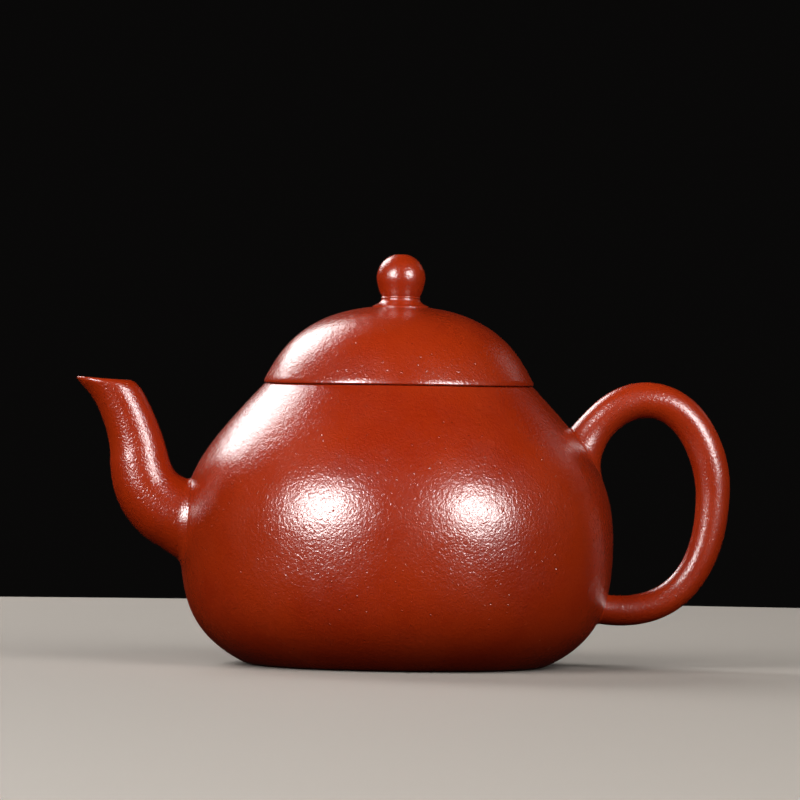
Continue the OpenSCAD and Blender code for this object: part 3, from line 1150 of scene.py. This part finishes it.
@dataclass
class Handle:
    """The ear-shaped handle and the joining clay at its two roots.

    It is thick from its swollen upper root down to the share thin_from of its way, and thins over thin_over.
    """

    pot: Pot
    top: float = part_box("handle")[1].z
    far_x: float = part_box("handle")[1].x
    thick: float = 6.2 * MM
    low_thick: float = 5.2 * MM
    thin_from: float = 0.55
    thin_over: float = 0.3
    root_swell: float = 1.0 * MM
    swell_over: float = 0.16
    upper_drop: float = 11 * MM
    low_h: float = 10.6 * MM
    sides: int = 72
    rings: int = 170
    rod: Rod = field(init=False)
    upper: RootClay = field(init=False)
    lower: RootClay = field(init=False)

    def __post_init__(self) -> None:
        """Draws the handle's middle line and its two joints."""
        high = self.pot.rim_z - self.upper_drop
        top_z, out_x = self.top - self.thick / 2, self.far_x - self.thick / 2 + 0.1 * MM
        mid_z = self.low_h + 0.56 * (top_z - self.low_h)
        near_x = self.pot.outer.radius_at(high) - 1 * MM
        low_x = self.pot.outer.radius_at(self.low_h) - 2 * MM
        over_x = near_x + 0.49 * (out_x - near_x)
        rows = [
            [(near_x, high), (near_x + 1.7 * MM, high + 3.6 * MM), (near_x + 5.6 * MM, top_z),
             (over_x, top_z)],
            [(over_x, top_z), (over_x + 0.7 * (out_x - over_x), top_z),
             (out_x, mid_z + 0.38 * (top_z - mid_z)), (out_x, mid_z)],
            [(out_x, mid_z), (out_x, mid_z - 0.67 * (mid_z - self.low_h)),
             (low_x + 0.67 * (out_x - low_x), self.low_h - 2.9 * MM), (low_x, self.low_h)],
        ]
        self.rod = Rod(tuple(Cubic(*(Vector(p) for p in row)) for row in rows), self.thickness)
        self.upper = RootClay(self.rod, self.pot.outer, outwards=1, root_s=-0.06, far_s=0.25,
                              soft_angle=math.pi, crease_rise=0.6 * MM, crease_flare=0.2 * MM,
                              soft_flare=3.8 * MM, softness=2.5)
        self.lower = RootClay(self.rod, self.pot.outer, outwards=-1, root_s=1.06, far_s=0.85,
                              soft_angle=math.pi, crease_rise=0.8 * MM, crease_flare=0.25 * MM,
                              soft_flare=1.2 * MM, softness=4.0)

    def thickness(self, s: float) -> float:
        """Returns the handle's radius a share s of the way from the upper to the lower root."""
        u = min(1.0, max(0.0, (s - self.thin_from) / self.thin_over))
        root = max(0.0, 1 - s / self.swell_over)
        thick = self.thick + (self.low_thick - self.thick) * u * u * (3 - 2 * u)
        return thick / 2 + self.root_swell * root ** 2

    def ring(self, share: float, start: float, end: float) -> Placing:
        """Returns the ring a share of the way from one border to the other."""
        return lambda angle: self.rod.point(start + (end - start) * share, angle)

    def end_of(self, joint: RootClay, angle: float) -> float:
        """Returns the share of the way at which a line of the handle ends in the pot's wall."""
        return self.rod.where(lambda p: joint.above(p, -ROOT_DEPTH), angle, joint.root_s, joint.far_s)

    def sunk(self, joint: RootClay) -> Placing:
        """Returns the ring where the handle ends in the pot's wall."""
        def place(angle: float) -> Vector:
            return self.rod.point(self.end_of(joint, angle), angle)
        return place

    def core(self, joint: RootClay) -> Placing:
        """Returns a point for every angle: the middle of the handle's end in the wall."""
        middle, _ = self.rod.middle(self.end_of(joint, math.pi / 2))
        return lambda angle: Vector((middle.x, 0.0, middle.y))

    def shape(self) -> bmesh.types.BMesh:
        """Returns the handle."""
        start, end = self.upper.border(), self.lower.border()
        rings = [Ring(self.core(self.upper)), Ring(self.sunk(self.upper))]
        rings += [Ring(self.ring(i / self.rings, start, end)) for i in range(self.rings + 1)]
        rings += [Ring(self.sunk(self.lower)), Ring(self.core(self.lower))]
        bm = draw_out(self.sides, rings)
        ends = [self.core(joint)(0.0) for joint in (self.upper, self.lower)]
        through = [f for f in bm.faces if all(min((v.co - e).length for e in ends) < MERGE for v in f.verts)]
        bmesh.ops.delete(bm, geom=through, context="FACES")
        bmesh.ops.delete(bm, geom=[e for e in bm.edges if not e.link_faces], context="EDGES")
        bmesh.ops.recalc_face_normals(bm, faces=bm.faces)
        return bm

    def build(self, maker: Maker) -> None:
        """Makes the handle and its two joints."""
        maker.finish(self.shape(), "handle", Body.POT, Clay.ROLLED)
        maker.finish(self.upper.build(self.sides), "handle_top_luting", Body.POT, Clay.JOINT)
        maker.finish(self.lower.build(self.sides), "handle_bottom_luting", Body.POT, Clay.JOINT)


# ---- the lid ----


@dataclass
class Lid:
    """The lid: its dome, the ring it sits on, the flange in the mouth and the knob."""

    rim_z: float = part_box("lid_seat_ring")[0].z
    lid_r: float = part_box("lid_seat_ring")[1].x
    dome_z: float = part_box("lid_dome")[0].z
    dome_top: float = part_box("lid_dome")[1].z
    flange_low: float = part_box("lid_flange")[0].z
    flange_r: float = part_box("lid_flange")[1].x
    flange_in_r: float = min(radii("lid_flange"))
    vent_r: float = min(radii("knob_ball"))
    collar_r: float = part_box("knob_collar")[1].x
    collar_z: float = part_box("knob_collar")[1].z
    ball_r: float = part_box("knob_ball")[1].x
    ball_z: float = height_of_widest("knob_ball")
    neck_r: float = 3.35 * MM
    edge: float = 0.25 * MM
    dome_wall: float = 2.4 * MM
    seam: float = 0.14 * MM
    seam_depth: float = 1.1 * MM
    flange_round: float = 0.6 * MM
    vent_round: float = 0.22 * MM
    hip_angle: float = math.radians(-16)
    ball_steps: int = 30
    outer: Profile = field(init=False)
    inner: Profile = field(init=False)

    def __post_init__(self) -> None:
        """Draws the dome's outline and the line of its inside."""
        low = self.rim_z + 2 * self.edge
        dome_h = self.dome_top - self.rim_z
        curve = Cubic(Vector((self.lid_r, low)), Vector((self.lid_r - 2.9 * MM, low + 0.42 * dome_h)),
                      Vector((0.69 * self.lid_r, self.dome_top)), Vector((0.0, self.dome_top)))
        edge = Vector((self.lid_r, self.rim_z))
        straight = Cubic(edge, edge.lerp(curve.start, 0.3), edge.lerp(curve.start, 0.7), curve.start)
        self.outer = Profile.along((straight, curve))
        self.inner = Profile.along((curve,), self.dome_wall)

    def over_top(self, line: Profile, low: float, guard_low: bool) -> list[Vector]:
        """Returns a line from a height up over the dome as far as the steam hole."""
        kept = [p for p in line.points if p.y > low and p.x > self.vent_r]
        last = Vector((self.vent_r, kept[-1].y))
        return even_steps([Vector((line.radius_at(low), low)), *kept, last], guard_low, False)

    def dome(self) -> bmesh.types.BMesh:
        """Returns the domed disc."""
        section = Section()
        section.line(self.over_top(self.outer, self.dome_z, True))
        section.line(self.over_top(self.inner, self.dome_z, True)[::-1])
        bm = section.turned()
        self.line_inside(bm)
        return bm

    def line_inside(self, bm: bmesh.types.BMesh) -> None:
        """Gives the inner finish to the faces under the dome."""
        for face in bm.faces:
            middle = face.calc_center_median()
            reach = math.hypot(middle.x, middle.y)
            depth = max(self.outer.radius_at(middle.z) - reach, self.dome_top - middle.z - reach)
            if face.normal.z < 0.2 and depth > 0.6 * self.dome_wall:
                face.material_index = 1

    def seat_ring(self) -> bmesh.types.BMesh:
        """Returns the ring that sits on the rim."""
        low = self.rim_z + self.seam
        section = Section()
        section.line(self.outer.part(low, self.dome_z, guard_low=False)[::-1])
        section.round_last(self.edge)
        section.to(self.lid_r - self.seam_depth, low)
        section.to(self.lid_r - self.seam_depth - 0.1 * MM, self.rim_z)
        section.to(self.flange_in_r, self.rim_z).to(self.flange_in_r, self.dome_z)
        bm = section.turned()
        for face in bm.faces:
            if abs(face.normal.z) > 0.9:
                face.material_index = 1
        return bm

    def flange(self) -> bmesh.types.BMesh:
        """Returns the short wall that drops into the mouth."""
        section = Section().to(self.flange_r, self.rim_z)
        section.to(self.flange_r, self.flange_low, self.flange_round)
        section.to(self.flange_in_r, self.flange_low, self.flange_round)
        section.to(self.flange_in_r, self.rim_z)
        return section.turned()

    def knob_collar(self) -> bmesh.types.BMesh:
        """Returns the small flared collar: its foot has a crisp edge on the dome."""
        foot_z, low = self.dome_top - 0.04 * MM, self.dome_top - 0.5 * MM
        flare = Cubic(Vector((self.collar_r, foot_z)), Vector((self.neck_r + 0.35 * MM, foot_z + 0.35 * MM)),
                      Vector((self.neck_r, self.collar_z - 0.5 * MM)), Vector((self.neck_r, self.collar_z)))
        section = Section().to(self.vent_r, low).to(self.collar_r, low).to(self.collar_r, foot_z)
        section.line([flare.at(i / 16) for i in range(1, 16)])
        section.to(self.neck_r, self.collar_z, 0.08 * MM).to(self.vent_r, self.collar_z)
        return section.turned()

    def knob_ball(self) -> bmesh.types.BMesh:
        """Returns the ball: round above, full below, with a thin flared edge on the collar."""
        centre = Vector((0.0, self.ball_z))
        low_angle = self.hip_angle
        hip = centre + self.ball_r * Vector((math.cos(low_angle), math.sin(low_angle)))
        waist = Vector((self.neck_r - 0.04 * MM, self.collar_z + 0.28 * MM))
        down = Vector((math.sin(low_angle), -math.cos(low_angle)))
        barrel = Cubic(hip, hip + 0.9 * MM * down, waist + Vector((0.5, 0.75)) * MM, waist)
        foot = Vector((self.neck_r + 0.1 * MM, self.collar_z))
        flare = Cubic(waist, waist + Vector((-0.03, -0.1)) * MM, foot + Vector((-0.03, 0.1)) * MM, foot)
        top_angle = math.acos(self.vent_r / self.ball_r)
        section = Section().to(self.vent_r, self.collar_z).line([foot])
        section.line([flare.at(i / 4) for i in range(3, 0, -1)])
        section.line([barrel.at(i / 12) for i in range(12, 0, -1)])
        angles = [low_angle + (top_angle - low_angle) * i / self.ball_steps
                  for i in range(self.ball_steps + 1)]
        section.line([centre + self.ball_r * Vector((math.cos(a), math.sin(a))) for a in angles])
        section.round_last(self.vent_round)
        section.to(self.vent_r, self.ball_z)
        return section.turned()

    def build(self, maker: Maker) -> None:
        """Makes the lid's five pieces."""
        maker.finish(self.dome(), "lid_dome", Body.LID, Clay.BEATEN)
        maker.finish(self.seat_ring(), "lid_seat_ring", Body.LID, Clay.BEATEN)
        maker.finish(self.flange(), "lid_flange", Body.LID, Clay.INNER)
        maker.finish(self.knob_collar(), "knob_collar", Body.LID, Clay.ROLLED)
        maker.finish(self.knob_ball(), "knob_ball", Body.LID, Clay.ROLLED)


# ---- the studio ----


class Reach(Enum):
    """What a soft light adds to: the even light on the clay, the highlights, or both."""

    FILL = "fill"
    GLOSS = "gloss"
    BOTH = "both"


@dataclass(frozen=True)
class SoftBox:
    """A flat soft light that faces the pot, rectangular or round."""

    name: str
    way: tuple[float, float, float]
    distance: float
    width: float
    height: float
    power: float
    reach: Reach = Reach.BOTH
    round_front: bool = False

    def build(self, aim: Vector) -> None:
        """Hangs the light.

        Args:
            aim: the place it faces.
        """
        data = bpy.data.lights.new(self.name, "AREA")
        data.shape = "ELLIPSE" if self.round_front else "RECTANGLE"
        data.size, data.size_y = self.width, self.height
        data.energy = self.power
        light = bpy.data.objects.new(self.name, data)
        bpy.context.scene.collection.objects.link(light)
        way = Vector(self.way).normalized()
        light.location = aim + way * self.distance
        light.rotation_mode = "QUATERNION"
        light.rotation_quaternion = way.to_track_quat("Z", "Y")
        light.visible_camera = False
        light.visible_diffuse = self.reach is not Reach.GLOSS
        light.visible_glossy = self.reach is not Reach.FILL
        log.info("%s: %g W, %s", self.name, self.power, self.reach.value)


@dataclass(frozen=True)
class Studio:
    """The plain floor, the soft lights and the camera."""

    aim: Vector = Vector((0.0002, 0.0, 0.046))
    camera_turn: float = math.radians(-4)
    camera_distance: float = 1.25
    camera_height: float = 0.055
    camera_roll: float = math.radians(0.87)
    lens: float = 325.0
    floor_r: float = 0.52
    floor_thick: float = 0.02
    floor_y: float = -0.2
    floor_tone: tuple[float, float, float] = (0.4, 0.36, 0.32)
    world_tone: tuple[float, float, float] = (0.0028, 0.0026, 0.0025)

    def around(self, turn: float, rise: float) -> tuple[float, float, float]:
        """Returns the direction at a turn from the camera's own and a rise, both in degrees."""
        turned = self.camera_turn + math.radians(turn)
        up = math.radians(rise)
        return math.sin(turned) * math.cos(up), -math.cos(turned) * math.cos(up), math.sin(up)

    def lights(self) -> None:
        """Hangs soft boxes beside the camera, one behind the spout and a faint one behind the handle."""
        boxes = [
            SoftBox("left_fill", self.around(-41, 27), 1.0, 0.7, 0.9, 10.6, Reach.FILL),
            SoftBox("right_fill", self.around(41, 27), 1.0, 0.7, 0.9, 8.0, Reach.FILL),
            SoftBox("left_core", self.around(-41, 19), 1.0, 0.5, 0.5, 20.0, Reach.GLOSS, True),
            SoftBox("right_core", self.around(43, 19), 1.0, 0.5, 0.5, 16.5, Reach.GLOSS, True),
            SoftBox("back_box", (-0.47, 0.68, 0.56), 0.9, 0.44, 0.42, 5.6),
            SoftBox("right_rim", (0.66, 0.6, 0.42), 0.9, 0.16, 0.16, 0.05),
        ]
        for box in boxes:
            box.build(self.aim)

    def floor(self) -> None:
        """Lays a plain pale floor under the pot."""
        bm = bmesh.new()
        middle = Matrix.Translation((0, self.floor_y, -self.floor_thick / 2))
        bmesh.ops.create_cone(bm, cap_ends=True, segments=160, radius1=self.floor_r, radius2=self.floor_r,
                              depth=self.floor_thick, matrix=middle)
        rims = [e for e in bm.edges if all(abs(v.co.z) < MERGE for v in e.verts)]
        bmesh.ops.bevel(bm, geom=rims, offset=2 * MM, offset_type="OFFSET", segments=4, profile=0.5,
                        affect="EDGES", material=-1)
        mesh = bpy.data.meshes.new("floor")
        bm.to_mesh(mesh)
        bm.free()
        floor = bpy.data.objects.new("floor", mesh)
        bpy.context.scene.collection.objects.link(floor)
        material = bpy.data.materials.new("pale_floor")
        material.use_nodes = True
        shader = material.node_tree.nodes["Principled BSDF"]
        shader.inputs["Base Color"].default_value = (*self.floor_tone, 1.0)
        shader.inputs["Roughness"].default_value = 0.6
        shader.inputs["Specular IOR Level"].default_value = 0.2
        mesh.materials.append(material)
        floor.visible_glossy = False
        floor.visible_diffuse = False

    def world(self) -> None:
        """Fills the room with a little even light."""
        world = bpy.data.worlds.new("room")
        world.use_nodes = True
        world.node_tree.nodes["Background"].inputs["Color"].default_value = (*self.world_tone, 1.0)
        bpy.context.scene.world = world

    def camera(self) -> None:
        """Sets up the camera, low and far away."""
        data = bpy.data.cameras.new("camera")
        data.lens = self.lens
        data.clip_start, data.clip_end = 0.01, 20.0
        camera = bpy.data.objects.new("camera", data)
        bpy.context.scene.collection.objects.link(camera)
        x, y, _ = self.around(0, 0)
        camera.location = Vector((x * self.camera_distance, y * self.camera_distance, self.camera_height))
        camera.rotation_mode = "QUATERNION"
        look = (self.aim - camera.location).to_track_quat("-Z", "Y").to_matrix()
        camera.rotation_quaternion = (look @ Matrix.Rotation(self.camera_roll, 3, "Z")).to_quaternion()
        bpy.context.scene.camera = camera

    def build(self) -> None:
        """Sets up the whole studio; the colours are shown plainly, so that the clay stays as red as it is."""
        bpy.context.scene.view_settings.view_transform = "Standard"
        self.floor()
        self.lights()
        self.world()
        self.camera()


def main() -> None:
    """Builds the teapot's pieces and the studio around them."""
    noise.seed_set(HAND_SEED)
    maker = Maker()
    pot = Pot()
    spout = Spout(pot)
    pot.build(maker, spout.hole())
    spout.build(maker)
    Handle(pot).build(maker)
    Lid().build(maker)
    Studio().build()


if __name__ == "__main__":
    main()
